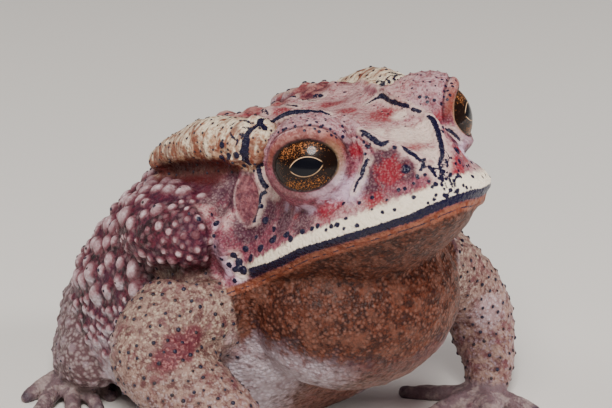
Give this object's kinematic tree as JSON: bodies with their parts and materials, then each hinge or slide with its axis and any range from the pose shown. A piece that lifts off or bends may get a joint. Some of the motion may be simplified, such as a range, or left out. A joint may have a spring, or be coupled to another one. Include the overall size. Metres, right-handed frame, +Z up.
{
  "type": "asian common toad",
  "caption": "Life-size still model of a sitting Asian common toad with head raised, bony head ridges, parotoid glands and splayed hands and feet.",
  "frame": {"origin": "centre of the bounding box's base, on the floor under the belly", "axes": "+Z up, the toad faces -Y, its left side is at +X"},
  "size_m": [0.0684, 0.081, 0.0558],
  "materials": {
    "head_skin": "moist warty skin, mauve brown with black ridges and cream lips",
    "throat_skin": "fine grained brown throat skin",
    "body_skin": "warty crimson brown skin with cream warts and a pale belly",
    "gland_skin": "cream gland skin with black spots",
    "limb_skin": "pale cream skin with black pointed dots",
    "eye": "glossy dark eye with coppery gold flecks"
  },
  "bodies": {
    "root": {"head": "head_skin", "lower_jaw": "throat_skin", "torso": "body_skin", "parotoid_right": "gland_skin", "parotoid_left": "gland_skin", "eye_right": "eye", "eye_left": "eye", "upper_arm_right": "limb_skin", "upper_arm_left": "limb_skin", "forearm_right": "limb_skin", "forearm_left": "limb_skin", "hand_right": "limb_skin", "hand_left": "limb_skin", "thigh_right": "limb_skin", "thigh_left": "limb_skin", "shank_right": "limb_skin", "shank_left": "limb_skin", "foot_right": "limb_skin", "foot_left": "limb_skin"}
  },
  "joints": []
}
